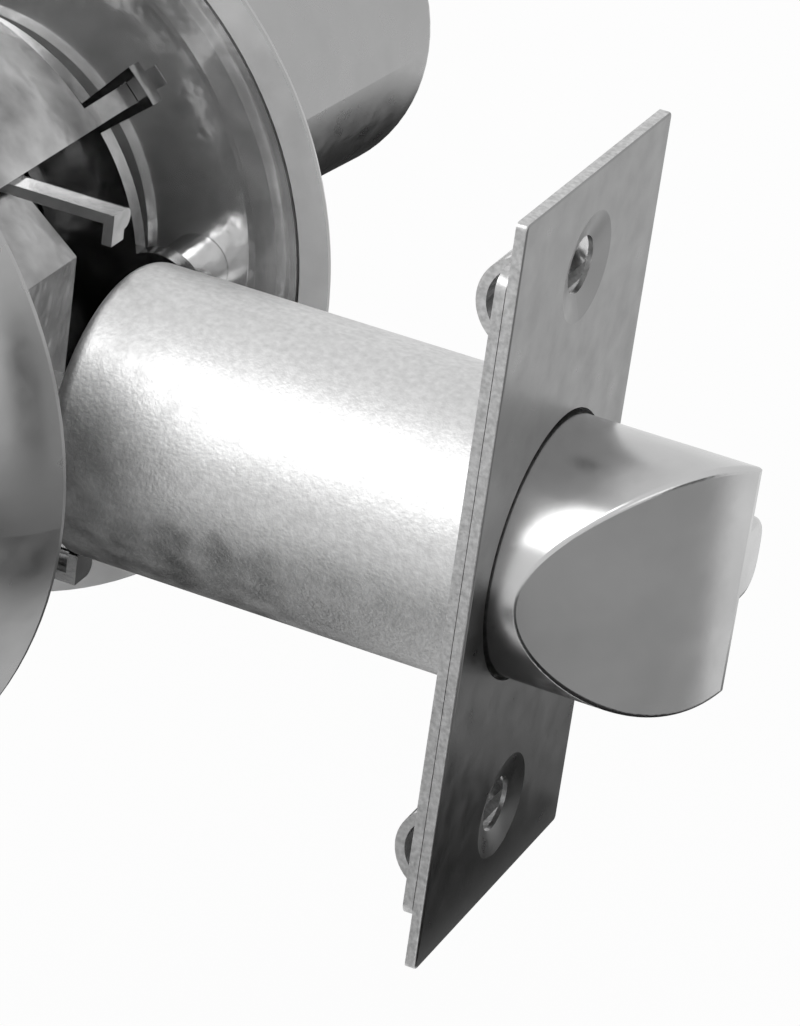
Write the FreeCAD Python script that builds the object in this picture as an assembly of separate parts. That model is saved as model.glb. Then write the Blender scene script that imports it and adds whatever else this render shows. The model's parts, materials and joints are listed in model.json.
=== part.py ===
"""Lever door lock with a tubular spring latch, in millimetres.

The origin is the centre of the faceplate's front face. +X runs out along the
latch bolt, +Y towards the inside of the door and +Z up the faceplate.
"""
import FreeCAD, Part
import math
import os

from FreeCAD import Vector

X_AXIS = Vector(1, 0, 0)
Y_AXIS = Vector(0, 1, 0)
Z_AXIS = Vector(0, 0, 1)
INSIDE = 1
OUTSIDE = -1

# Clearances
running_fit = 0.05            # radial, shaft in its bore
free_gap = 0.3                # between curved faces of different moving pieces
seat_gap = 0.1                # between a moving piece and the stop it rests on
assembly_gap = 0.05           # between fixed pieces that slip into each other
through_cut = 1.0             # how far a cutting tool runs past the face it cuts
wire_flats = 6
near_enough = 0.001           # two positions this close count as the same

# Door and lock layout
backset = 60.0                # door edge to the lever axis
door_thickness = 41.5
latch_offset = 2.05           # latch lies this far towards the outside from mid-door
inside_face_y = latch_offset + door_thickness / 2
outside_face_y = latch_offset - door_thickness / 2
axis_x = -backset

# Faceplate and backing plate
plate_height = 57.15
plate_width = 25.4
faceplate_thickness = 0.85
faceplate_corner_r = 0.4
plate_edge_r = 0.2
backing_height = 49.4
backing_thickness = 0.75
backing_corner_r = 1.2
plate_gap = 0.05
backing_front_x = -faceplate_thickness - plate_gap
backing_rear_x = backing_front_x - backing_thickness

# Screw holes in the faceplate
screw_spacing = 42.4
screw_hole_r = 2.1
countersink_r = 4.0
countersink_depth = 0.5
bolt_hole_gap = 0.33
bridge_half_height = 3.4      # arched strap of the backing plate behind a screw hole
bridge_half_width = 9.0
bridge_depth = 2.64

# Latch bolt
bolt_r = 9.6
bolt_flat_cut = 5.8           # how deep the flat is cut into the round
bolt_flat_y = bolt_r - bolt_flat_cut
bolt_projection = 13.5
bolt_travel = 12.8
bevel_start_x = 2.0
bevel_tip_flat = 0.5
bevel_bulge = 1.5             # how far the bevel's curve stands out of its chord
bolt_edge_r = 0.45
bolt_rear_x = -12.0
bolt_collar_play = 0.07

# Deadlatch plunger
plunger_gap = 0.3
plunger_half_width = 3.1
plunger_projection = 12.8
plunger_set_back = 0.1
plunger_shoulder_half_width = 5.0
plunger_travel = 11.5
plunger_edge_r = 0.6
plunger_side_r = 2.2          # rounds the bar's outer long edges

# Latch tube
tube_wall = 0.9
tube_clearance = 0.45         # between the bolt's front part and the tube
tube_rear_x = -34.0
tube_lip_width = 1.45
tube_lip_round = 1.3
end_plate_thickness = 1.5
tube_bore_r = bolt_r + tube_clearance
tube_r = tube_bore_r + tube_wall
tube_lip_r = tube_bore_r - tube_lip_width
end_plate_front_x = tube_rear_x + tube_wall + end_plate_thickness

# Latch tail
tail_y = -1.0
tail_width = 4.0
tail_thickness = 1.5
tail_head_width = 8.0
tail_head_length = 1.5
tail_root_depth = 4.0
tail_play = 0.35

# Latch springs
bolt_spring_mean_r = 3.9
bolt_spring_wire_r = 0.45
bolt_spring_turns = 6
plunger_spring_mean_r = 1.5
plunger_spring_wire_r = 0.3
plunger_spring_turns = 9

# Chassis
case_r = 22.5
case_wall = 1.2
case_half_width = 16.5        # from mid-door to each hub plate's inner face
case_mouth_half_angle = 42.0  # the case is open this far each side of the latch
case_edge_y = 12.0            # the shell ends here, and its tongues run on
tongue_half_angle = 2.1
tongue_centre = case_mouth_half_angle + tongue_half_angle
tongue_centres = (tongue_centre, 180 - tongue_centre, 180 + tongue_centre, 360 - tongue_centre)
tongue_play = 0.2             # degrees each side of a tongue in its slot
tongue_stub = 3.6             # how far a tongue stands out of the hub plate
tongue_edge_r = 0.45
rear_wall_press = 5.0         # how far the wall behind the retractor springs is pressed in
case_rear_wall_x = rear_wall_press - case_r
case_rear_wall_half_height = 11.6
case_rear_wall_half_width = 6.0
lip_reach = case_r + 2.5      # from the lever axis to the lip's front edge
lip_z = 0.622 * case_r        # just below the edge of the mouth
lip_thickness = 0.8
lip_y0 = -0.8
lip_y1 = 1.0
lip_tab_drop = 1.6
lip_tab_length = 1.8
hem_r = 0.8

# Hub plates and their sleeves
hub_plate_r = case_r + 1.0
hub_disc_r = case_r - 4.3     # the inside hub plate is a smaller disc with arms and ears
hub_arm_half_angle = tongue_half_angle + 2.0
hub_ear_r = 3.5
hub_plate_thickness = 1.5
sleeve_r = 10.0
sleeve_end = 6.2              # how far the sleeve stands out of the door face
groove_depth = 0.5

# Spindles
spindle_r = 8.0
spindle_wall = 1.2
spindle_reach = 23.5          # end of the tube, out from the door face
spindle_flange_r = 10.5
spindle_flange_thickness = 1.5
cam_inner_y = 6.3
cam_thickness = 3.0
cam_tip_r = 1.5
cam_hole_r = 2.6

# Lever motion and retractor
lever_turn = 55.0             # degrees that a lever turns down
cam_half_turn = math.radians(lever_turn / 2)
cam_reach = bolt_travel / 2 / math.sin(cam_half_turn)
retractor_half_width = 5.0
lug_half_width = 9.6
lug_thickness = 2.5
arm_thickness = 1.5
arm_gap = 0.35
seat_bottom_z = 4.9
front_bar_x = 19.6            # from the lever axis
front_bar_thickness = 1.5
front_bar_half_height = 8.0
retractor_spring_z = 8.0
retractor_spring_mean_r = 2.5
retractor_spring_wire_r = 0.4
retractor_spring_turns = 7

# Roses and mounting plates
rose_r = 32.2
rose_wall = 1.0
rose_lip_r = rose_r - 2.4
rose_side_height = 0.4
rose_dome_r = 11.6            # radius of the dome's round shoulder
rose_dome_start = 22.0        # degrees that the shoulder leans in at the rim
rose_dome_end = 80.0
rose_collar_r = 15.2
rose_face_height = 9.2
rose_collar_height = 10.7
mounting_plate_r = rose_lip_r - 0.3
mounting_plate_thickness = 1.1
mounting_plate_start = 0.1
ledge_depth = 0.9
floor_depth = 3.0
bead_height = 0.8
ledge_r = 28.5
floor_r = 24.0
outer_bead_r = 26.9           # raised from the ledge
inner_bead_r = 14.9           # raised from the floor
bead_half_width = 0.9

# Screw posts and mounting screws
screw_circle_r = hub_disc_r + 1.6
post_r = 2.6
post_screw_r = 1.75
post_rivet_r = 1.9
screw_head_r = 3.2
screw_head_height = 1.9
screw_head_edge_r = 0.95
screw_grip = 6.0
screw_slot_width = 0.9
screw_slot_depth = 0.8

# Return springs and retaining rings
return_spring_mean_r = 12.95
return_spring_wire_r = 0.6
return_spring_turns = 1.25
return_spring_pitch = 1.5
ring_outer_r = 12.0
ring_thickness = 0.85
ring_gap_half_angle = 18.0

# Levers
hub_root_r = 12.0             # the round hub where it passes through the rose
hub_end_r = 15.1
hub_start = 6.7               # out from the door face
hub_flare_start = 13.0
hub_end = 57.6
hub_edge_r = 1.0
grip_front = 55.8             # front of the grip's root, out from the door face
grip_root_thickness = 15.0
grip_tip_thickness = 10.6
grip_root_half_height = 11.4
grip_tip_half_height = 8.6
grip_root_x = -2.0            # the grip starts inside the hub
lever_reach = 112.0           # from the lever axis to the grip's tip
grip_bow = 8.0                # how far the grip curves back to the door at its tip
grip_corner_r = 5.0
grip_edge_r = 4.8
grip_join_r = 4.0
socket_depth = 24.0
catch_out = 14.0
catch_r = 1.2
catch_head_r = 1.9
catch_head = 0.6

# Key cylinder
cylinder_r = 9.5
cylinder_start = 25.0
cylinder_proud = 0.5
cylinder_edge_r = 0.3
plug_r = 6.3
plug_start = 27.0
plug_proud = 0.9
keyway_width = 1.6
keyway_height = 8.4
keyway_depth = 20.0
tailpiece_width = 4.4
tailpiece_thickness = 1.2
tailpiece_end_y = -3.0

# Turn button
button_shaft_r = 4.0
button_shaft_length = 12.0
button_base_r = 7.0
button_base_height = 1.6
button_seat_depth = 1.2
button_wing_length = 12.0
button_wing_thickness = 3.6
button_wing_height = 7.5
button_edge_r = 0.8
button_bar_r = 1.9
button_bar_flat = 0.95        # from the bar's centre to its flat
button_bar_inset = 6.0
button_bar_end_y = -2.2


# Building blocks

def box(x0, x1, y0, y1, z0, z1):
    return Part.makeBox(x1 - x0, y1 - y0, z1 - z0, Vector(x0, y0, z0))


def rod_x(radius, x0, x1, y=0.0, z=0.0):
    return Part.makeCylinder(radius, x1 - x0, Vector(x0, y, z), X_AXIS)


def cone_x(radius0, radius1, x0, x1, z=0.0):
    """Cone along X with radius0 at x0 and radius1 at the smaller x1."""
    return Part.makeCone(radius0, radius1, x0 - x1, Vector(x0, 0, z), -X_AXIS)


def out_y(side, out):
    """Y of a point that lies a distance out from this side's door face."""
    face = inside_face_y if side == INSIDE else outside_face_y
    return face + side * out


def rod_between_y(radius, ya, yb, x=axis_x, z=0.0):
    low = min(ya, yb)
    return Part.makeCylinder(radius, abs(yb - ya), Vector(x, low, z), Y_AXIS)


def rod_out(side, radius, out0, out1, x=axis_x, z=0.0):
    return rod_between_y(radius, out_y(side, out0), out_y(side, out1), x, z)


def rounded_plate(x0, x1, width, height, corner_r):
    plate = box(x0, x1, -width / 2, width / 2, -height / 2, height / 2)
    corners = [e for e in plate.Edges if abs(e.tangentAt(e.FirstParameter).x) > 0.99]
    return plate.makeFillet(corner_r, corners)


def loop_face(points, arcs=None):
    """Planar face from corner points; arcs maps a corner to the arc's middle point."""
    arcs = arcs or {}
    edges = []
    for index, start in enumerate(points):
        end = points[(index + 1) % len(points)]
        if index in arcs:
            edges.append(Part.Arc(start, arcs[index], end).toShape())
        else:
            edges.append(Part.makeLine(start, end))
    return Part.Face(Part.Wire(edges))


def turned(side, profile, arcs=None):
    """Solid turned about the lever axis from (radius, out) corners."""
    def place(corner):
        radius, out = corner
        return Vector(axis_x + radius, out_y(side, out), 0)
    points = [place(corner) for corner in profile]
    middles = {index: place(corner) for index, corner in (arcs or {}).items()}
    face = loop_face(points, middles)
    return face.revolve(Vector(axis_x, 0, 0), Y_AXIS, 360)


def slab_y(corners, y0, y1):
    """Outline of (x, z) corners, x from the lever axis, spread from y0 to y1."""
    points = [Vector(axis_x + x, y0, z) for x, z in corners]
    return loop_face(points).extrude(Vector(0, y1 - y0, 0))


def polar(radius, degrees):
    angle = math.radians(degrees)
    return radius * math.cos(angle), radius * math.sin(angle)


def ring_sector(r_in, r_out, from_deg, to_deg, y0, y1):
    """Part of a drum wall about the lever axis, angles from +X towards +Z."""
    middle = (from_deg + to_deg) / 2

    def place(radius, degrees):
        x, z = polar(radius, degrees)
        return Vector(axis_x + x, y0, z)
    points = [place(r_out, from_deg), place(r_out, to_deg),
              place(r_in, to_deg), place(r_in, from_deg)]
    arcs = {0: place(r_out, middle), 2: place(r_in, middle)}
    return loop_face(points, arcs).extrude(Vector(0, y1 - y0, 0))


def coil(mean_r, wire_r, turns, length, origin, direction):
    """Open coil spring whose wire centre runs the given length from the origin.

    The wire has six flats, which keeps the spring light.
    """
    helix = Part.makeHelix(length / turns, length, mean_r)
    corners = []
    for step in range(wire_flats + 1):
        angle = 2 * math.pi * step / wire_flats
        corners.append(Vector(mean_r + wire_r * math.cos(angle), 0, wire_r * math.sin(angle)))
    section = Part.makePolygon(corners)
    spring = Part.Wire(helix).makePipeShell([section], True, True)
    spring.Placement = FreeCAD.Placement(origin, FreeCAD.Rotation(Z_AXIS, direction))
    return spring


# Latch unit

def screw_centres():
    return (screw_spacing / 2, -screw_spacing / 2)


def faceplate():
    plate = rounded_plate(-faceplate_thickness, 0, plate_width, plate_height, faceplate_corner_r)
    front = [e for e in plate.Edges if e.BoundBox.XMin > -near_enough]
    plate = plate.makeFillet(plate_edge_r, front)
    for z in screw_centres():
        plate = plate.cut(cone_x(countersink_r, screw_hole_r, 0, -countersink_depth, z=z))
        plate = plate.cut(rod_x(screw_hole_r, -faceplate_thickness - through_cut, -countersink_depth, z=z))
    plate = plate.cut(rod_x(bolt_r + bolt_hole_gap, -faceplate_thickness - through_cut, through_cut))
    return plate.removeSplitter()


def arch_block(z, half_height, back_x, front_x):
    """Block as wide as a bridge, behind one screw hole, with a round back."""
    y = -bridge_half_width
    points = [Vector(backing_rear_x, y, z - half_height), Vector(backing_rear_x, y, z + half_height),
              Vector(front_x, y, z + half_height), Vector(front_x, y, z - half_height)]
    face = loop_face(points, {0: Vector(back_x, y, z)})
    return face.extrude(Vector(0, 2 * bridge_half_width, 0))


def backing_plate():
    plate = rounded_plate(backing_rear_x, backing_front_x, plate_width, backing_height, backing_corner_r)
    bridge_back_x = backing_rear_x - bridge_depth
    for z in screw_centres():
        middle_x = backing_rear_x + backing_thickness / 2
        plate = plate.fuse(arch_block(z, bridge_half_height, bridge_back_x, middle_x))
    for z in screw_centres():
        plate = plate.cut(arch_block(z, bridge_half_height - backing_thickness,
                                     bridge_back_x + backing_thickness, through_cut))
        plate = plate.cut(rod_x(screw_hole_r, bridge_back_x - through_cut, 0, z=z))
    plate = plate.cut(rod_x(bolt_r + free_gap, backing_rear_x - through_cut, 0))
    return plate.removeSplitter()


def latch_tube():
    tube = rod_x(tube_r, tube_rear_x, backing_rear_x)
    end_edge = [e for e in tube.Edges if e.BoundBox.XMax < tube_rear_x + near_enough]
    tube = tube.makeFillet(tube_lip_round, end_edge)
    tube = tube.cut(rod_x(tube_bore_r, tube_rear_x + tube_wall, 0))
    return tube.cut(rod_x(tube_lip_r, tube_rear_x - through_cut, 0))


def tube_end_plate():
    rear_x = end_plate_front_x - end_plate_thickness
    plate = rod_x(tube_bore_r - assembly_gap, rear_x, end_plate_front_x)
    half_width = tail_width / 2 + tail_play
    half_thickness = tail_thickness / 2 + tail_play
    return plate.cut(box(rear_x - through_cut, 0, tail_y - half_width, tail_y + half_width,
                         -half_thickness, half_thickness))


def latch_bolt():
    collar_front_x = backing_rear_x - seat_gap
    bolt = rod_x(bolt_r, bolt_rear_x, bolt_projection)
    bolt = bolt.fuse(rod_x(tube_bore_r - bolt_collar_play, bolt_rear_x, collar_front_x))
    bolt = bolt.cut(box(bolt_rear_x - through_cut, bolt_projection + through_cut,
                        bolt_flat_y, tube_r, -tube_r, tube_r))
    bolt = bolt.common(bevel_drum()).removeSplitter()
    bevel = [f for f in bolt.Faces if isinstance(f.Surface, Part.Cylinder)
             and abs(f.Surface.Axis.z) > 0.99][0]
    bolt = bolt.makeFillet(bolt_edge_r, [e for e in bevel.Edges if e.Curve.TypeId != "Part::GeomLine"])
    pocket = box(bolt_rear_x - through_cut, bolt_rear_x + tail_root_depth,
                 tail_y - tail_width / 2 - assembly_gap, tail_y + tail_width / 2 + assembly_gap,
                 -tail_thickness / 2 - assembly_gap, tail_thickness / 2 + assembly_gap)
    return bolt.cut(pocket)


def bevel_drum():
    """Drum about an upright axis; its round side is the bolt's bulging bevel."""
    start = Vector(bevel_start_x, -bolt_r, 0)
    tip = Vector(bolt_projection, bolt_flat_y - bevel_tip_flat, 0)
    chord = tip - start
    radius = (chord.Length ** 2 / 4 + bevel_bulge ** 2) / (2 * bevel_bulge)
    inwards = Vector(-chord.y, chord.x, 0) / chord.Length
    centre = (start + tip) / 2 + inwards * (radius - bevel_bulge)
    return Part.makeCylinder(radius, 2 * tube_r, centre - Z_AXIS * tube_r, Z_AXIS)


def deadlatch_plunger():
    y0 = bolt_flat_y + plunger_gap
    shoulder_front_x = backing_rear_x - seat_gap
    bar = rod_x(bolt_r - plunger_set_back, bolt_rear_x, plunger_projection).common(
        box(bolt_rear_x, plunger_projection, y0, tube_r, -plunger_half_width, plunger_half_width))
    outer_y = max(v.Y for v in bar.Vertexes)
    sides = [e for e in bar.Edges if e.BoundBox.XLength > plunger_projection
             and e.BoundBox.YMin > outer_y - near_enough]
    bar = bar.makeFillet(plunger_side_r, sides)
    tip = [e for e in bar.Edges if e.BoundBox.XMin > plunger_projection - near_enough]
    bar = bar.makeFillet(plunger_edge_r, tip)
    shoulder_r = tube_bore_r - 2 * bolt_collar_play
    shoulder = rod_x(shoulder_r, bolt_rear_x, shoulder_front_x).common(
        box(bolt_rear_x, shoulder_front_x, y0, tube_r,
            -plunger_shoulder_half_width, plunger_shoulder_half_width))
    return bar.fuse(shoulder).removeSplitter()


def head_front_x():
    """Front face of the tail's head, just behind the retractor's front bar."""
    return axis_x + front_bar_x - front_bar_thickness - free_gap


def latch_tail():
    root_x = bolt_rear_x + tail_root_depth - assembly_gap
    head_x = head_front_x()
    strip = box(head_x - tail_head_length, root_x, tail_y - tail_width / 2, tail_y + tail_width / 2,
                -tail_thickness / 2, tail_thickness / 2)
    head = box(head_x - tail_head_length, head_x, tail_y - tail_head_width / 2,
               tail_y + tail_head_width / 2, -tail_thickness / 2, tail_thickness / 2)
    return strip.fuse(head).removeSplitter()


def bolt_spring():
    start_x = end_plate_front_x + assembly_gap + bolt_spring_wire_r
    length = bolt_rear_x - assembly_gap - bolt_spring_wire_r - start_x
    return coil(bolt_spring_mean_r, bolt_spring_wire_r, bolt_spring_turns, length,
                Vector(start_x, tail_y, 0), X_AXIS)


def plunger_spring_y():
    return bolt_flat_y + plunger_gap + plunger_spring_mean_r + 2 * plunger_spring_wire_r


def plunger_spring():
    start_x = end_plate_front_x + assembly_gap + plunger_spring_wire_r
    length = bolt_rear_x - assembly_gap - plunger_spring_wire_r - start_x
    return coil(plunger_spring_mean_r, plunger_spring_wire_r, plunger_spring_turns, length,
                Vector(start_x, plunger_spring_y(), 0), X_AXIS)


# Chassis

def hub_inner_y(side):
    return latch_offset + side * case_half_width


def hub_outer_y(side):
    return hub_inner_y(side) + side * hub_plate_thickness


def lip(z_side):
    """Folded lip over or under the tail, with a small bent-down tab."""
    z0 = lip_z
    root_x = math.sqrt(case_r ** 2 - (lip_z + lip_thickness) ** 2) - case_wall
    sheet = box(axis_x + root_x, axis_x + lip_reach, lip_y0, lip_y1, z0, z0 + lip_thickness)
    hem_start = Vector(axis_x + root_x, lip_y1, z0 + lip_thickness - hem_r)
    hem = Part.makeCylinder(hem_r, lip_reach - root_x, hem_start, X_AXIS)
    tab = box(axis_x + lip_reach - lip_thickness, axis_x + lip_reach,
              lip_y1 - lip_tab_length, lip_y1, z0 - lip_tab_drop, z0 + lip_thickness)
    whole = sheet.fuse([hem, tab]).removeSplitter()
    if z_side < 0:
        whole = whole.mirror(Vector(0, 0, 0), Z_AXIS)
    return whole


def chassis_case():
    r_in = case_r - case_wall
    y0 = hub_inner_y(OUTSIDE)
    shell = ring_sector(r_in, case_r, case_mouth_half_angle, 360 - case_mouth_half_angle, y0, case_edge_y)
    tongue_end_y = hub_outer_y(INSIDE) + tongue_stub
    for centre in tongue_centres:
        tongue = ring_sector(r_in, case_r, centre - tongue_half_angle, centre + tongue_half_angle,
                             case_edge_y - through_cut, tongue_end_y)
        end_arcs = [e for e in tongue.Edges if e.BoundBox.YMin > tongue_end_y - near_enough
                    and e.Curve.TypeId != "Part::GeomLine"]
        tongue = tongue.makeFillet(tongue_edge_r, end_arcs)
        shell = shell.fuse(tongue)
    wall = box(axis_x + case_rear_wall_x - case_wall, axis_x + case_rear_wall_x,
               -case_rear_wall_half_width, case_rear_wall_half_width,
               -case_rear_wall_half_height, case_rear_wall_half_height)
    outer = rod_between_y(r_in + case_wall / 2, -case_rear_wall_half_width, case_rear_wall_half_width)
    wall = wall.common(outer)
    ends = []
    for sign in (1, -1):
        z_end = sign * case_rear_wall_half_height
        z_in = z_end - sign * case_wall
        ends.append(box(axis_x - case_r + case_wall / 2, axis_x + case_rear_wall_x,
                        -case_rear_wall_half_width, case_rear_wall_half_width,
                        min(z_end, z_in), max(z_end, z_in)).common(outer))
    case = shell.fuse([wall] + ends + [lip(1), lip(-1)])
    return case.removeSplitter()


def hub_outline(side, y0, y1):
    """Full disc outside; inside a smaller disc with ears for the posts and arms for the tongues."""
    if side == OUTSIDE:
        return rod_between_y(hub_plate_r, y0, y1)
    plate = rod_between_y(hub_disc_r, y0, y1)
    for x in post_centres():
        plate = plate.fuse(rod_between_y(hub_ear_r, y0, y1, x=x))
    for centre in tongue_centres:
        plate = plate.fuse(ring_sector(hub_disc_r - through_cut, hub_plate_r, centre - hub_arm_half_angle,
                                       centre + hub_arm_half_angle, min(y0, y1), max(y0, y1)))
    return plate


def hub_plate(side):
    ya = hub_inner_y(side)
    yb = hub_outer_y(side)
    plate = hub_outline(side, ya, yb)
    plate = plate.fuse(rod_between_y(sleeve_r, ya, out_y(side, sleeve_end)))
    plate = plate.cut(rod_between_y(spindle_r + running_fit, ya - side * through_cut,
                                    out_y(side, sleeve_end + through_cut)))
    groove_start = ring_start()
    groove = rod_out(side, sleeve_r + through_cut, groove_start, groove_start + ring_thickness)
    groove = groove.cut(rod_out(side, sleeve_r - groove_depth, groove_start, groove_start + ring_thickness))
    plate = plate.cut(groove)
    if side == INSIDE:
        half_slot = tongue_half_angle + tongue_play
        for centre in tongue_centres:
            plate = plate.cut(ring_sector(case_r - case_wall - assembly_gap, case_r + assembly_gap,
                                          centre - half_slot, centre + half_slot,
                                          ya - through_cut, yb + through_cut))
        rivet_hole_r = post_rivet_r + assembly_gap
        for x in post_centres():
            plate = plate.cut(rod_between_y(rivet_hole_r, ya - through_cut, yb + through_cut, x=x))
    return plate.removeSplitter()


def post_centres():
    return (axis_x + screw_circle_r, axis_x - screw_circle_r)


def screw_posts():
    posts = []
    top_y = out_y(INSIDE, mounting_plate_start + floor_depth - assembly_gap)
    plate_y = hub_outer_y(INSIDE)
    for x in post_centres():
        post = rod_between_y(post_r, plate_y, top_y, x=x)
        post = post.fuse(rod_between_y(post_rivet_r, hub_inner_y(INSIDE), plate_y, x=x))
        bore_end = top_y - screw_grip
        post = post.cut(rod_between_y(post_screw_r, bore_end, top_y + through_cut, x=x))
        posts.append(post.removeSplitter())
    return Part.makeCompound(posts)


def screw_head_start():
    return mounting_plate_start + floor_depth + mounting_plate_thickness


def mounting_screws():
    screws = []
    for x in post_centres():
        start = screw_head_start()
        head = rod_out(INSIDE, screw_head_r, start, start + screw_head_height, x=x)
        top_face_y = out_y(INSIDE, start + screw_head_height)
        top = [e for e in head.Edges if e.BoundBox.YMin > top_face_y - near_enough]
        head = head.makeFillet(screw_head_edge_r, top)
        top_y = out_y(INSIDE, mounting_plate_start + floor_depth - assembly_gap)
        shank = rod_between_y(post_screw_r - assembly_gap, top_y - screw_grip + assembly_gap,
                              out_y(INSIDE, start), x=x)
        slot_y = out_y(INSIDE, start + screw_head_height)
        slot = box(x - screw_head_r, x + screw_head_r, slot_y - screw_slot_depth, slot_y + through_cut,
                   -screw_slot_width / 2, screw_slot_width / 2)
        screws.append(head.fuse(shank).cut(slot).removeSplitter())
    return Part.makeCompound(screws)


def cam_arm(y0, y1, degrees):
    """Arm from the lever axis to a round tip, at an angle from +X towards +Z."""
    x, z = polar(cam_reach, degrees)
    nx, nz = polar(cam_tip_r, degrees + 90)
    corners = [(nx, nz), (x + nx, z + nz), (x - nx, z - nz), (-nx, -nz)]
    arm = slab_y(corners, y0, y1)
    return arm.fuse(rod_between_y(cam_tip_r, y0, y1, x=axis_x + x, z=z))


def spindle(side):
    cam_y = side * cam_inner_y
    tube_start = side * (cam_inner_y + cam_thickness)
    end_y = out_y(side, spindle_reach)
    tube = rod_between_y(spindle_r, cam_y, end_y)
    flange_y = hub_inner_y(side) - side * free_gap
    tube = tube.fuse(rod_between_y(spindle_flange_r, flange_y - side * spindle_flange_thickness, flange_y))
    y0, y1 = min(cam_y, tube_start), max(cam_y, tube_start)
    lean = 90 - lever_turn / 2
    for degrees in (lean, -lean):
        tube = tube.fuse(cam_arm(y0, y1, degrees))
    tube = tube.cut(rod_between_y(spindle_r - spindle_wall, tube_start, end_y + side * through_cut))
    tube = tube.cut(rod_between_y(cam_hole_r, cam_y - side * through_cut, tube_start + side * through_cut))
    hole_y = out_y(side, catch_out)
    tube = tube.cut(Part.makeCylinder(catch_r + assembly_gap, spindle_r + through_cut,
                                      Vector(axis_x, hole_y, 0), -Z_AXIS))
    return tube.removeSplitter()


def retractor():
    """Horseshoe slide: front bar, slanted arms, and lugs behind the cam tips."""
    arm_in = cam_reach + cam_tip_r + arm_gap
    arm_out = arm_in + arm_thickness
    tip_x = cam_reach * math.sin(cam_half_turn)
    lug_front = tip_x - cam_tip_r - free_gap
    lug_rear = lug_front - lug_thickness
    bar_front = front_bar_x
    bar_rear = front_bar_x - front_bar_thickness
    bend_x = tip_x + cam_tip_r
    half = front_bar_half_height
    upper_outer = [(bar_front, half), (bend_x, arm_out), (lug_rear, arm_out), (lug_rear, seat_bottom_z)]
    upper_inner = [(lug_front, seat_bottom_z), (lug_front, arm_in), (bend_x - arm_thickness / 2, arm_in),
                   (bar_rear, half - arm_thickness / 2)]
    upper = upper_outer + upper_inner
    lower = [(x, -z) for x, z in reversed(upper)]
    slide = slab_y(upper + lower, -retractor_half_width, retractor_half_width)
    lug_bottom = cam_reach * math.cos(cam_half_turn) + cam_tip_r * math.sin(cam_half_turn)
    for sign in (1, -1):
        z0, z1 = sorted((sign * lug_bottom, sign * arm_out))
        slide = slide.fuse(box(axis_x + lug_rear, axis_x + lug_front, 0, lug_half_width, z0, z1))
    half_width = tail_width / 2 + tail_play
    half_thickness = tail_thickness / 2 + tail_play
    slide = slide.cut(box(axis_x + bar_rear - through_cut, axis_x + bar_front + through_cut,
                          tail_y - half_width, tail_y + half_width, -half_thickness, half_thickness))
    return slide.removeSplitter()


def retractor_springs():
    start_x = axis_x + case_rear_wall_x + assembly_gap + retractor_spring_wire_r
    tip_x = cam_reach * math.sin(cam_half_turn)
    lug_rear = tip_x - cam_tip_r - free_gap - lug_thickness
    length = axis_x + lug_rear - assembly_gap - retractor_spring_wire_r - start_x
    springs = []
    for sign in (1, -1):
        springs.append(coil(retractor_spring_mean_r, retractor_spring_wire_r, retractor_spring_turns,
                            length, Vector(start_x, 0, sign * retractor_spring_z), X_AXIS))
    return Part.makeCompound(springs)


# Roses and mounting plates

def dome_point(radius, degrees):
    """(radius, out) corner on the rose's round shoulder or on its inner face."""
    start = math.radians(rose_dome_start)
    centre_r = rose_r - rose_dome_r * math.cos(start)
    centre_out = rose_side_height - rose_dome_r * math.sin(start)
    along_r, along_out = polar(radius, degrees)
    return centre_r + along_r, centre_out + along_out


def rose(side):
    hole_r = hub_root_r + free_gap
    inner_r = rose_dome_r - rose_wall
    centre_out = dome_point(0, 0)[1]
    inner_start = math.degrees(math.asin((rose_wall - centre_out) / inner_r))
    profile = [(rose_lip_r, 0), (rose_r, 0), dome_point(rose_dome_r, rose_dome_start),
               dome_point(rose_dome_r, rose_dome_end), (rose_collar_r + rose_wall, rose_face_height),
               (rose_collar_r, rose_collar_height), (hole_r, rose_collar_height),
               (hole_r, rose_collar_height - rose_wall),
               (rose_collar_r - rose_wall, rose_collar_height - rose_wall),
               (rose_collar_r, rose_face_height - rose_wall), dome_point(inner_r, rose_dome_end),
               dome_point(inner_r, inner_start), (rose_lip_r, rose_wall)]
    arcs = {2: dome_point(rose_dome_r, (rose_dome_start + rose_dome_end) / 2),
            10: dome_point(inner_r, (inner_start + rose_dome_end) / 2)}
    return turned(side, profile, arcs)


def raised_bead(centre, out):
    """Corners of a ring pressed towards the door, going inwards."""
    foot = bead_half_width + bead_height / 2
    return [(centre + foot, out), (centre + bead_half_width, out - bead_height),
            (centre - bead_half_width, out - bead_height), (centre - foot, out)]


def mounting_plate_line():
    """Door-side line of the mounting plate as (radius, out) corners, rim first."""
    start = mounting_plate_start
    ledge = start + ledge_depth
    floor = start + floor_depth
    step = (floor_depth - ledge_depth) / 2
    return ([(mounting_plate_r, start), (ledge_r + ledge_depth / 2, start), (ledge_r, ledge)]
            + raised_bead(outer_bead_r, ledge)
            + [(floor_r + step, ledge), (floor_r, floor)]
            + raised_bead(inner_bead_r, floor)
            + [(sleeve_r + assembly_gap, floor)])


def mounting_plate(side):
    line = mounting_plate_line()
    back = [(radius, out + mounting_plate_thickness) for radius, out in reversed(line)]
    plate = turned(side, line + back)
    if side == INSIDE:
        for x in post_centres():
            plate = plate.cut(rod_out(side, post_screw_r + assembly_gap, 0,
                                      screw_head_start() + through_cut, x=x))
    return plate


def ring_start():
    return mounting_plate_start + floor_depth + mounting_plate_thickness + assembly_gap


def retaining_ring(side):
    start = ring_start()
    y0, y1 = sorted((out_y(side, start), out_y(side, start + ring_thickness - assembly_gap)))
    r_in = sleeve_r - groove_depth + assembly_gap
    return ring_sector(r_in, ring_outer_r, -90 + ring_gap_half_angle, 270 - ring_gap_half_angle, y0, y1)


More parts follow.
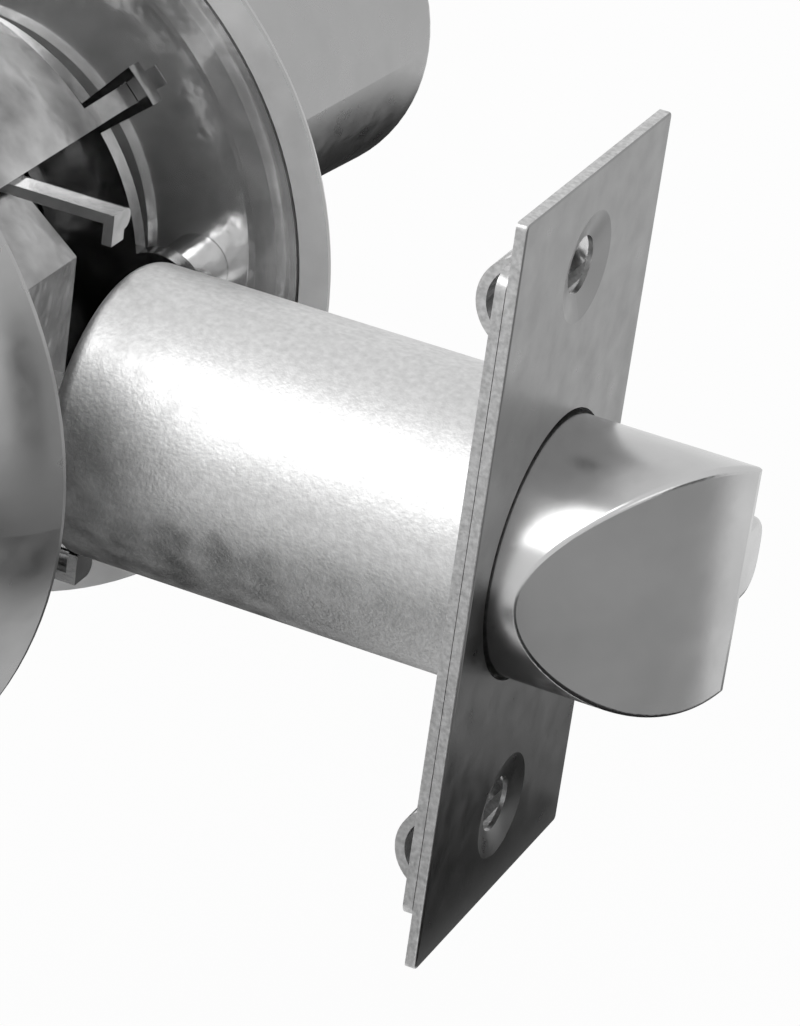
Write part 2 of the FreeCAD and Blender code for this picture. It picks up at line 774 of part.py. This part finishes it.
def return_spring(side):
    start = screw_head_start() + assembly_gap + return_spring_wire_r
    origin = Vector(axis_x, out_y(side, start), 0)
    length = return_spring_pitch * return_spring_turns
    return coil(return_spring_mean_r, return_spring_wire_r, return_spring_turns, length,
                origin, Vector(0, side, 0))


# Levers

def hub_r_at(out):
    flared = (out - hub_flare_start) / (hub_end - hub_flare_start)
    return hub_root_r + (hub_end_r - hub_root_r) * max(0.0, flared)


def lever_hub(side):
    """Round hub: straight through the rose, then flared, with a rounded edge."""
    inset = hub_edge_r * (1 - math.sqrt(0.5))
    profile = [(0, hub_start), (hub_root_r, hub_start), (hub_root_r, hub_flare_start),
               (hub_end_r, hub_end - hub_edge_r), (hub_end_r - hub_edge_r, hub_end), (0, hub_end)]
    return turned(side, profile, {3: (hub_end_r - inset, hub_end - inset)})


def grip_plan(side):
    """The grip seen from above: two arcs that bow to the door, spread along Z."""
    def place(x, out):
        return Vector(axis_x + x, out_y(side, out), -hub_end_r)
    tip_front = grip_front - grip_bow
    middle_x = (grip_root_x - lever_reach) / 2
    middle_front = grip_front - grip_bow / 4
    middle_thickness = (grip_root_thickness + grip_tip_thickness) / 2
    points = [place(grip_root_x, grip_front), place(-lever_reach, tip_front),
              place(-lever_reach, tip_front - grip_tip_thickness),
              place(grip_root_x, grip_front - grip_root_thickness)]
    arcs = {0: place(middle_x, middle_front), 2: place(middle_x, middle_front - middle_thickness)}
    return loop_face(points, arcs).extrude(Vector(0, 0, 2 * hub_end_r))


def grip_front_view(side):
    """The grip seen along Y: tapered, with two round corners at the tip."""
    ya, yb = sorted((out_y(side, 0), out_y(side, hub_end)))

    def place(x, z):
        return Vector(axis_x + x, ya, z)
    high = grip_tip_half_height
    inset = grip_corner_r * (1 - math.sqrt(0.5))
    points = [place(grip_root_x, grip_root_half_height), place(grip_corner_r - lever_reach, high),
              place(-lever_reach, high - grip_corner_r), place(-lever_reach, grip_corner_r - high),
              place(grip_corner_r - lever_reach, -high), place(grip_root_x, -grip_root_half_height)]
    arcs = {1: place(inset - lever_reach, high - inset), 3: place(inset - lever_reach, inset - high)}
    return loop_face(points, arcs).extrude(Vector(0, yb - ya, 0))


def lever_grip(side):
    """Grip with both outlines, rounded along all its long edges and round its tip."""
    grip = grip_plan(side).common(grip_front_view(side))
    inside_hub = axis_x + grip_root_x - through_cut
    long_edges = [e for e in grip.Edges if e.BoundBox.XMin < inside_hub
                  and max(e.BoundBox.XLength, e.BoundBox.ZLength) > through_cut]
    return grip.makeFillet(grip_edge_r, long_edges)


def lever_body(side):
    """Hub and grip joined with a round inner corner."""
    body = lever_hub(side).fuse(lever_grip(side))

    def near_hub(vertex):
        return math.hypot(vertex.X - axis_x, vertex.Z) < hub_end_r
    join = [e for e in body.Edges if e.BoundBox.XMax < axis_x + grip_root_x
            and all(near_hub(v) for v in e.Vertexes)]
    return body.makeFillet(grip_join_r, join)


def lever(side):
    body = lever_body(side)
    body = body.cut(rod_out(side, spindle_r + assembly_gap, 0, socket_depth))
    body = body.cut(Part.makeCylinder(catch_r + assembly_gap, hub_end_r + through_cut,
                                      Vector(axis_x, out_y(side, catch_out), 0), -Z_AXIS))
    past_face = hub_end + through_cut * 3
    if side == OUTSIDE:
        body = body.cut(rod_out(side, cylinder_r + assembly_gap, cylinder_start, past_face))
        body = body.cut(rod_out(side, tailpiece_width / 2 + free_gap, socket_depth - through_cut, past_face))
    else:
        seat = hub_end - button_seat_depth
        body = body.cut(rod_out(side, button_bar_r + free_gap, socket_depth - through_cut, past_face))
        body = body.cut(rod_out(side, button_shaft_r + running_fit, seat - button_shaft_length - seat_gap,
                                past_face))
        body = body.cut(rod_out(side, button_base_r + free_gap, seat, past_face))
    return body.removeSplitter()


def lever_catch(side):
    """Sprung pin that locks the lever on its spindle; its end shows under the hub."""
    y = out_y(side, catch_out)
    inner_z = -math.sqrt((spindle_r - spindle_wall) ** 2 - catch_head_r ** 2) + assembly_gap
    outer_z = -(hub_r_at(catch_out) - catch_head)
    pin = Part.makeCylinder(catch_r, inner_z - outer_z, Vector(axis_x, y, outer_z), Z_AXIS)
    head = Part.makeCylinder(catch_head_r, catch_head, Vector(axis_x, y, inner_z), Z_AXIS)
    return pin.fuse(head).removeSplitter()


# Key cylinder and turn button

def key_cylinder():
    body = rod_out(OUTSIDE, cylinder_r, cylinder_start, hub_end + cylinder_proud)
    front_y = out_y(OUTSIDE, hub_end + cylinder_proud)
    rim = [e for e in body.Edges if e.BoundBox.YMax < front_y + near_enough]
    body = body.makeFillet(cylinder_edge_r, rim)
    body = body.cut(rod_out(OUTSIDE, plug_r + running_fit, plug_start - seat_gap, hub_end + through_cut * 3))
    tailpiece_hole_r = tailpiece_width / 2 + free_gap
    return body.cut(rod_out(OUTSIDE, tailpiece_hole_r, cylinder_start - through_cut, plug_start))


def key_plug():
    face = hub_end + plug_proud
    plug = rod_out(OUTSIDE, plug_r, plug_start, face)
    y_face = out_y(OUTSIDE, face)
    keyway = box(axis_x - keyway_width / 2, axis_x + keyway_width / 2, y_face - through_cut,
                 y_face + keyway_depth, -keyway_height / 2, keyway_height / 2)
    return plug.cut(keyway)


def cylinder_tailpiece():
    return box(axis_x - tailpiece_thickness / 2, axis_x + tailpiece_thickness / 2,
               out_y(OUTSIDE, plug_start), tailpiece_end_y, -tailpiece_width / 2, tailpiece_width / 2)


def turn_button():
    seat = hub_end - button_seat_depth + seat_gap
    base_top = seat + button_base_height
    button = rod_out(INSIDE, button_base_r, seat, base_top)
    button = button.fuse(rod_out(INSIDE, button_shaft_r, seat - button_shaft_length, seat))
    half_length = button_wing_length / 2
    half_thickness = button_wing_thickness / 2
    wing = box(axis_x - half_thickness, axis_x + half_thickness, out_y(INSIDE, base_top),
               out_y(INSIDE, base_top + button_wing_height), -half_length, half_length)
    wing = wing.makeFillet(button_edge_r, [e for e in wing.Edges
                                           if e.BoundBox.YMax > out_y(INSIDE, base_top) + through_cut])
    button = button.fuse(wing)
    button = button.cut(rod_out(INSIDE, button_bar_r, seat - button_shaft_length - through_cut,
                                seat - button_shaft_length + button_bar_inset))
    return button.removeSplitter()


def button_bar():
    seat = hub_end - button_seat_depth + seat_gap
    end_y = out_y(INSIDE, seat - button_shaft_length + button_bar_inset)
    bar = rod_between_y(button_bar_r - assembly_gap, button_bar_end_y, end_y)
    flat = box(axis_x + button_bar_flat, axis_x + 2 * button_bar_r, button_bar_end_y, end_y,
               -button_bar_r, button_bar_r)
    return bar.cut(flat)


PIECES = {
    "faceplate": faceplate,
    "backing_plate": backing_plate,
    "latch_tube": latch_tube,
    "tube_end_plate": tube_end_plate,
    "latch_bolt": latch_bolt,
    "deadlatch_plunger": deadlatch_plunger,
    "latch_tail": latch_tail,
    "bolt_spring": bolt_spring,
    "plunger_spring": plunger_spring,
    "chassis_case": chassis_case,
    "screw_posts": screw_posts,
    "mounting_screws": mounting_screws,
    "retractor": retractor,
    "retractor_springs": retractor_springs,
    "key_cylinder": key_cylinder,
    "key_plug": key_plug,
    "cylinder_tailpiece": cylinder_tailpiece,
    "turn_button": turn_button,
    "button_bar": button_bar,
}

PAIRED_PIECES = {
    "hub_plate": hub_plate,
    "spindle": spindle,
    "mounting_plate": mounting_plate,
    "retaining_ring": retaining_ring,
    "return_spring": return_spring,
    "rose": rose,
    "lever": lever,
    "lever_catch": lever_catch,
}


def save(name, shape):
    shape.exportStep(os.path.join("parts", name + ".step"))
    print(name, len(shape.Solids), round(shape.Volume, 1), shape.isValid())


def main():
    os.makedirs("parts", exist_ok=True)
    for name, make in PIECES.items():
        save(name, make())
    for name, make in PAIRED_PIECES.items():
        save("inside_" + name, make(INSIDE))
        save("outside_" + name, make(OUTSIDE))


main()
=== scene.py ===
"""Looks for the lever door lock: finishes, springs, floor, studio light and camera."""
import json
import math

import bpy
from mathutils import Matrix, Vector

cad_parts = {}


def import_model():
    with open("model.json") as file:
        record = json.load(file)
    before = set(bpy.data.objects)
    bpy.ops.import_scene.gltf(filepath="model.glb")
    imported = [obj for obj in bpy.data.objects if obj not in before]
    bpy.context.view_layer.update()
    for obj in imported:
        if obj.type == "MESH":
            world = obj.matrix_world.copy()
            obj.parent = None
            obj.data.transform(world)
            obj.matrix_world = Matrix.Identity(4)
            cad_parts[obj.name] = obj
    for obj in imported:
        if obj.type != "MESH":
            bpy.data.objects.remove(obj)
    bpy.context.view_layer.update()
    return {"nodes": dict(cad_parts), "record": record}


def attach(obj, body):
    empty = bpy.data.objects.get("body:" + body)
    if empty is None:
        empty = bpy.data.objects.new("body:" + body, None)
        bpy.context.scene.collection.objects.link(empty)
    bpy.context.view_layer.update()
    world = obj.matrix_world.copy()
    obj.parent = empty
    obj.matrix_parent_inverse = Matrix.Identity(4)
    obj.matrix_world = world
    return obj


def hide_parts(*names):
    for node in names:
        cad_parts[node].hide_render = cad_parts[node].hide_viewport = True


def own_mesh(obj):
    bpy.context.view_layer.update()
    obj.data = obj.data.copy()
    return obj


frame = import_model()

MM = 0.001

# Camera, as fitted to the photograph
camera_azimuth = 21.03        # degrees, 0 looks along +Y
camera_elevation = 26.74
camera_roll = 8.15
camera_distance = 325.58 * MM
camera_target = Vector((-9.72, -2.99, 0.47)) * MM
camera_lens = 164.3           # millimetres, for the sensor below
sensor_height = 36.0          # the picture is taller than wide, so this is its longer side
nearest_seen = 0.01           # metres
farthest_seen = 100.0

# Studio
floor_z = -90 * MM
floor_size = 12.0             # metres
floor_colour = 0.9
floor_roughness = 0.9
floor_glow = 0.96             # share of plain white in what the camera and metal see of the floor
world_fill = 0.45             # strength of the world for all but camera, mirror and glass rays

# Glowing grey sheets that only metal mirrors, as painted reflections of darker surroundings:
# three just over the floor, one beside the bolt, and one upright far in front. The corners are x
# and y in millimetres.
dark_grey = 0.03
low_grey = 0.17
middle_grey = 0.43
floor_painted_reflection_z = floor_z + 2 * MM
dark_painted_reflection_corners = [(-160, -150), (-33, -150), (-33, 60), (0, 60), (0, 230), (-160, 230)]
low_painted_reflection_corners = [(0, 60), (110, 60), (110, 148), (15, 162), (15, 230), (0, 230)]
middle_painted_reflection_corners = [(60, -260), (700, -260), (700, 55), (60, 55)]
side_painted_reflection_z = -30 * MM
side_painted_reflection_corners = [(2, -90), (30, -90), (30, 18), (2, 18)]
far_grey = 0.06
far_painted_reflection_x = 700 * MM
far_painted_reflection_sides = (-260 * MM, 55 * MM)
far_painted_reflection_top = 250 * MM

# Grey levels of the metals, as linear values
nickel_grey = 0.36
plate_grey = 0.24
bolt_grey = 0.52
zinc_grey = 0.62
folded_grey = 0.33
# Cut edges of the folded sheet, lighter as a painted highlight
cut_edge_highlight_grey = 0.85
pressed_grey = 0.85
# Hollow side of the roses, lighter as painted light in the shaded hollow
inner_grey = 0.72
# Sheared plate edges, lighter as a painted highlight
edge_and_highlight_grey = 0.5
spring_grey = 0.35

# Unevenness that all metals share
cloud_size = 6 * MM           # patches of lighter and darker grey
cloud_detail = 4
gloss_patch_size = 2.5 * MM   # patches of more and less gloss
gloss_patch_detail = 3
least_roughness = 0.85        # times the metal's own roughness
most_roughness = 1.2
grain_detail = 2
noise_low = 0.3               # noise values below this count as lowest
noise_high = 0.7              # and above this as highest

# How the faces for a second finish are picked
lever_axis_x = -60 * MM
plate_face_share = 0.5        # a plate's faces look along X by at least this share
sheet_face_share = 0.45       # the chassis's faces look at or away from the lever axis by this
hollow_share = 0.2            # a rose's hollow side looks at the door or the axis by more than this

smooth_angle = 32.0           # degrees, sharper edges stay crisp

FOLDED_PIECES = ("chassis_case", "inside_hub_plate", "outside_hub_plate", "retractor")
PRESSED_PIECES = ("inside_mounting_plate", "outside_mounting_plate", "backing_plate")
PLATES = ("faceplate", "backing_plate")


# Node helpers

def grey_colour(level):
    return (level, level, level, 1)


class Shader:
    """Small builder for a procedural material."""

    def __init__(self, name):
        self.material = bpy.data.materials.new(name)
        self.material.use_nodes = True
        self.nodes = self.material.node_tree.nodes
        self.links = self.material.node_tree.links
        self.surface = self.nodes["Principled BSDF"]
        self.output = self.nodes["Material Output"]
        self.place = self.add("ShaderNodeTexCoord").outputs["Object"]

    def add(self, kind):
        return self.nodes.new(kind)

    def noise(self, size, detail, stretch=(1, 1, 1)):
        """Noise whose patches are about 'size' across, longer along the stretched axes."""
        mapping = self.add("ShaderNodeMapping")
        mapping.inputs["Scale"].default_value = [1 / times for times in stretch]
        self.links.new(self.place, mapping.inputs["Vector"])
        node = self.add("ShaderNodeTexNoise")
        node.inputs["Scale"].default_value = 1 / size
        node.inputs["Detail"].default_value = detail
        self.links.new(mapping.outputs["Vector"], node.inputs["Vector"])
        return node.outputs["Fac"]

    def spread(self, noise, low, high):
        """Number between two values, driven by noise."""
        node = self.add("ShaderNodeMapRange")
        node.inputs["From Min"].default_value = noise_low
        node.inputs["From Max"].default_value = noise_high
        node.inputs["To Min"].default_value = low
        node.inputs["To Max"].default_value = high
        self.links.new(noise, node.inputs["Value"])
        return node.outputs["Result"]

    def greys(self, noise, dark, light):
        """Colour between two greys, driven by noise."""
        ramp = self.add("ShaderNodeValToRGB")
        first, last = ramp.color_ramp.elements
        first.position = noise_low
        first.color = grey_colour(dark)
        last.position = noise_high
        last.color = grey_colour(light)
        self.links.new(noise, ramp.inputs["Fac"])
        return ramp.outputs["Color"]

    def bump(self, noise, depth):
        node = self.add("ShaderNodeBump")
        node.inputs["Distance"].default_value = depth
        self.links.new(noise, node.inputs["Height"])
        return node.outputs["Normal"]

    def set(self, **inputs):
        """Sets or links inputs of the surface; underscores stand for spaces."""
        for key, value in inputs.items():
            socket = self.surface.inputs[key.replace("_", " ")]
            if isinstance(value, bpy.types.NodeSocket):
                self.links.new(value, socket)
            else:
                socket.default_value = value


def metal(name, grey, variation, roughness, grain_size, grain_depth,
          stretch=(1, 1, 1), shine=1.0, clouds_across=cloud_size):
    """Plated or bare metal: cloudy grey, uneven gloss and a fine grain."""
    shader = Shader(name)
    clouds = shader.noise(clouds_across, cloud_detail)
    gloss_patches = shader.noise(gloss_patch_size, gloss_patch_detail)
    grain = shader.noise(grain_size, grain_detail, stretch)
    shader.set(Metallic=shine,
               Base_Color=shader.greys(clouds, grey * (1 - variation), grey * (1 + variation)),
               Roughness=shader.spread(gloss_patches,
                                       roughness * least_roughness, roughness * most_roughness),
               Normal=shader.bump(grain, grain_depth))
    return shader.material


# Finishes

def satin_nickel():
    return metal("satin_nickel", nickel_grey, variation=0.03, roughness=0.3,
                 grain_size=0.5 * MM, grain_depth=0.002 * MM)


def rose_inside():
    """Unpolished hollow side of the roses, half matt and lighter than the outside as painted light
    in the shaded hollow.
    """
    return metal("rose_inside", inner_grey, variation=0.1, roughness=0.45,
                 grain_size=0.5 * MM, grain_depth=0.004 * MM, shine=0.4)


def satin_plate():
    """Brushed along the plate's height."""
    return metal("satin_plate", plate_grey, variation=0.04, roughness=0.32,
                 grain_size=0.2 * MM, grain_depth=0.001 * MM, stretch=(1, 1, 4))


def plate_edge():
    """Sheared edges of the plates and their other faces that don't look along X, speckled, and
    lighter than the plate face as a painted highlight.
    """
    return metal("plate_edge", edge_and_highlight_grey, variation=0.2, roughness=0.35,
                 grain_size=0.25 * MM, grain_depth=0.015 * MM, clouds_across=0.35 * MM)


def satin_bolt():
    return metal("satin_bolt", bolt_grey, variation=0.06, roughness=0.22,
                 grain_size=0.5 * MM, grain_depth=0.002 * MM)


def zinc_tube():
    return metal("zinc_tube", zinc_grey, variation=0.1, roughness=0.45,
                 grain_size=0.25 * MM, grain_depth=0.025 * MM, clouds_across=0.5 * MM)


def bright_zinc():
    return metal("bright_zinc", zinc_grey, variation=0.1, roughness=0.16,
                 grain_size=1.2 * MM, grain_depth=0.03 * MM)


def folded_zinc():
    """Plated sheet that was bent: dull patches between bright ones."""
    return metal("folded_zinc", folded_grey, variation=0.5, roughness=0.14,
                 grain_size=3.0 * MM, grain_depth=0.08 * MM)


def cut_edge_highlight_zinc():
    """Cut edges of the folded sheet, painted much lighter than its faces as a painted highlight."""
    return metal("cut_edge_highlight_zinc", cut_edge_highlight_grey, variation=0.1, roughness=0.2,
                 grain_size=0.4 * MM, grain_depth=0.01 * MM, shine=0.85)


def pressed_zinc():
    """Pressed discs and bridges, wavy and half bright."""
    return metal("pressed_zinc", pressed_grey, variation=0.15, roughness=0.2,
                 grain_size=2.5 * MM, grain_depth=0.15 * MM, shine=0.8)


def spring_steel():
    return metal("spring_steel", spring_grey, variation=0.05, roughness=0.3,
                 grain_size=0.4 * MM, grain_depth=0.005 * MM)


def nickelled_brass():
    return metal("nickelled_brass", nickel_grey, variation=0.04, roughness=0.28,
                 grain_size=0.4 * MM, grain_depth=0.005 * MM)


FINISHES = {
    "satin_nickel": satin_nickel,
    "satin_plate": satin_plate,
    "satin_bolt": satin_bolt,
    "zinc_tube": zinc_tube,
    "bright_zinc": bright_zinc,
    "spring_steel": spring_steel,
    "nickelled_brass": nickelled_brass,
}


# Dressing the solids

def smooth(obj):
    """Smooth shading with crisp edges where faces meet sharply."""
    obj.data.shade_smooth()
    obj.data.set_sharp_from_angle(angle=math.radians(smooth_angle))


def replace_finish(name, material):
    frame["nodes"][name].data.materials[0] = material


def add_second_finish(name, material, chosen):
    """Gives the faces that 'chosen' picks a finish of their own."""
    mesh = frame["nodes"][name].data
    mesh.materials.append(material)
    for face in mesh.polygons:
        if chosen(face):
            face.material_index = 1


def outward_share(face):
    """How far a face looks away from the lever axis: 1 straight away, -1 straight at it."""
    away = Vector((face.center.x - lever_axis_x, 0, face.center.z)).normalized()
    return face.normal.dot(away)


def on_plate_edge(face):
    return abs(face.normal.x) < plate_face_share


def on_sheet_edge(face):
    return abs(outward_share(face)) < sheet_face_share


def faces_into_rose(side):
    """Picks the faces of a rose that look at the door or at the lever axis."""
    def chosen(face):
        return face.normal.y * side < -hollow_share or outward_share(face) < -hollow_share
    return chosen


def dress_nodes():
    slots = {part["node"]: part["material_slot"] for part in frame["record"]["subparts"]}
    made = {slot: make() for slot, make in FINISHES.items()}
    for name, obj in frame["nodes"].items():
        obj.data.materials.clear()
        obj.data.materials.append(made[slots[name]])
        smooth(obj)
    # Painted highlight: faces of the plates that don't look along X get the lighter edge finish.
    edge = plate_edge()
    for name in PLATES:
        add_second_finish(name, edge, on_plate_edge)
    folded = folded_zinc()
    for name in FOLDED_PIECES:
        replace_finish(name, folded)
    # Painted highlight: chassis faces that look neither at nor away from the lever axis get the
    # light cut-edge finish.
    add_second_finish("chassis_case", cut_edge_highlight_zinc(), on_sheet_edge)
    pressed = pressed_zinc()
    for name in PRESSED_PIECES:
        replace_finish(name, pressed)
    # Painted light: the rose faces that look at the door or the lever axis get a lighter, half-matt
    # finish.
    hollow = rose_inside()
    add_second_finish("inside_rose", hollow, faces_into_rose(1))
    add_second_finish("outside_rose", hollow, faces_into_rose(-1))


# Springs

def shortening_spring(node):
    """A copy of the node's coil in the node's place, hung on the lock case; the node itself is
    hidden.
    """
    solid = frame["nodes"][node]
    spring = bpy.data.objects.new(node + "_wire", solid.data.copy())
    bpy.context.scene.collection.objects.link(spring)
    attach(spring, "lock_case")
    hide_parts(node)
    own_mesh(spring)


def springs():
    shortening_spring("bolt_spring")
    shortening_spring("plunger_spring")
    shortening_spring("retractor_springs")


# Studio

def mix_in_white(tree, other, white, share):
    """Mixes in white for rays from the camera, and for mirror and glass rays."""
    path = tree.nodes.new("ShaderNodeLightPath")
    seen = path.outputs["Is Camera Ray"]
    for ray in ("Is Glossy Ray", "Is Transmission Ray"):
        either = tree.nodes.new("ShaderNodeMath")
        either.operation = "MAXIMUM"
        tree.links.new(seen, either.inputs[0])
        tree.links.new(path.outputs[ray], either.inputs[1])
        seen = either.outputs[0]
    part = tree.nodes.new("ShaderNodeMath")
    part.operation = "MULTIPLY"
    part.inputs[1].default_value = share
    tree.links.new(seen, part.inputs[0])
    mix = tree.nodes.new("ShaderNodeMixShader")
    tree.links.new(part.outputs[0], mix.inputs[0])
    tree.links.new(other, mix.inputs[1])
    tree.links.new(white, mix.inputs[2])
    return mix.outputs[0]


def world():
    """Soft light from all round, and plain white for what the camera and metal see."""
    studio = bpy.data.worlds.new("studio")
    bpy.context.scene.world = studio
    studio.use_nodes = True
    tree = studio.node_tree
    fill = tree.nodes["Background"]
    fill.inputs["Color"].default_value = grey_colour(1)
    fill.inputs["Strength"].default_value = world_fill
    white = tree.nodes.new("ShaderNodeBackground")
    white.inputs["Color"].default_value = grey_colour(1)
    mixed = mix_in_white(tree, fill.outputs[0], white.outputs[0], share=1.0)
    tree.links.new(mixed, tree.nodes["World Output"].inputs["Surface"])


def flat_stage_piece(name, corners):
    """One flat face of the stage."""
    mesh = bpy.data.meshes.new(name)
    mesh.from_pydata(corners, [], [tuple(range(len(corners)))])
    sheet = bpy.data.objects.new(name, mesh)
    bpy.context.scene.collection.objects.link(sheet)
    return sheet


def floor():
    half = floor_size / 2
    card = flat_stage_piece("floor", [(-half, -half, floor_z), (half, -half, floor_z),
                                      (half, half, floor_z), (-half, half, floor_z)])
    shader = Shader("floor")
    shader.set(Base_Color=grey_colour(floor_colour),
               Roughness=floor_roughness,
               Specular_IOR_Level=0.0)
    white = shader.add("ShaderNodeEmission")
    tree = shader.material.node_tree
    mixed = mix_in_white(tree, shader.surface.outputs[0], white.outputs[0], floor_glow)
    shader.links.new(mixed, shader.output.inputs["Surface"])
    card.data.materials.append(shader.material)


def grey_painted_reflection(name, corners, grey):
    """Glowing grey sheet as a painted reflection: gives the metal something darker to mirror; the
    camera doesn't see it.
    """
    painted_reflection = flat_stage_piece(name, corners)
    shader = Shader(name)
    even = shader.add("ShaderNodeEmission")
    even.inputs["Color"].default_value = grey_colour(grey)
    shader.links.new(even.outputs[0], shader.output.inputs["Surface"])
    painted_reflection.data.materials.append(shader.material)
    painted_reflection.visible_camera = False
    painted_reflection.visible_shadow = False
    painted_reflection.visible_diffuse = False


# Painted reflection sheet lying level at a given height.
def level_painted_reflection(name, corners, height, grey):
    grey_painted_reflection(name, [(x * MM, y * MM, height) for x, y in corners], grey)


# Painted reflection sheet standing upright.
def upright_painted_reflection(name, x, sides, bottom, top, grey):
    near, far = sides
    grey_painted_reflection(name, [(x, near, bottom), (x, far, bottom), (x, far, top), (x, near, top)], grey)


# Painted reflections: glowing grey sheets under, beside and in front of the lock that only metal
# mirrors.
def painted_reflections():
    level_painted_reflection("dark_painted_reflection", dark_painted_reflection_corners, floor_painted_reflection_z, dark_grey)
    level_painted_reflection("low_painted_reflection", low_painted_reflection_corners, floor_painted_reflection_z, low_grey)
    level_painted_reflection("middle_painted_reflection", middle_painted_reflection_corners, floor_painted_reflection_z, middle_grey)
    level_painted_reflection("side_painted_reflection", side_painted_reflection_corners, side_painted_reflection_z, dark_grey)
    upright_painted_reflection("far_painted_reflection", far_painted_reflection_x, far_painted_reflection_sides, floor_painted_reflection_z, far_painted_reflection_top, far_grey)


def softbox(name, direction, distance, size, strength):
    """Square area light that shines on the object from a direction."""
    data = bpy.data.lights.new(name, "AREA")
    data.shape = "SQUARE"
    data.size = size
    data.energy = strength * math.pi * size ** 2    # power for this brightness of its face
    lamp = bpy.data.objects.new(name, data)
    way = Vector(direction).normalized()
    facing = way.to_track_quat("Z", "Y").to_matrix().to_4x4()
    lamp.matrix_world = Matrix.Translation(camera_target + way * distance) @ facing
    bpy.context.scene.collection.objects.link(lamp)


def lights():
    softbox("key", direction=(-0.32, -0.62, 0.71), distance=0.9, size=0.7, strength=2.5)
    softbox("fill", direction=(0.8, -0.5, 0.4), distance=1.1, size=0.4, strength=1.0)


def camera():
    azimuth = math.radians(camera_azimuth)
    elevation = math.radians(camera_elevation)
    roll = math.radians(camera_roll)
    back = Vector((math.sin(azimuth) * math.cos(elevation),
                   -math.cos(azimuth) * math.cos(elevation),
                   math.sin(elevation)))
    right = (-back).cross(Vector((0, 0, 1))).normalized()
    up = right.cross(-back)
    turned_right = right * math.cos(roll) + up * math.sin(roll)
    turned_up = up * math.cos(roll) - right * math.sin(roll)
    data = bpy.data.cameras.new("camera")
    data.lens = camera_lens
    data.sensor_width = sensor_height
    data.clip_start = nearest_seen
    data.clip_end = farthest_seen
    view = bpy.data.objects.new("camera", data)
    axes = Matrix((turned_right, turned_up, back)).transposed().to_4x4()
    view.matrix_world = Matrix.Translation(camera_target + back * camera_distance) @ axes
    bpy.context.scene.collection.objects.link(view)
    bpy.context.scene.camera = view


dress_nodes()
springs()
world()
floor()
# Painted reflections for the metal
painted_reflections()
lights()
camera()
bpy.context.scene.view_settings.view_transform = "Standard"
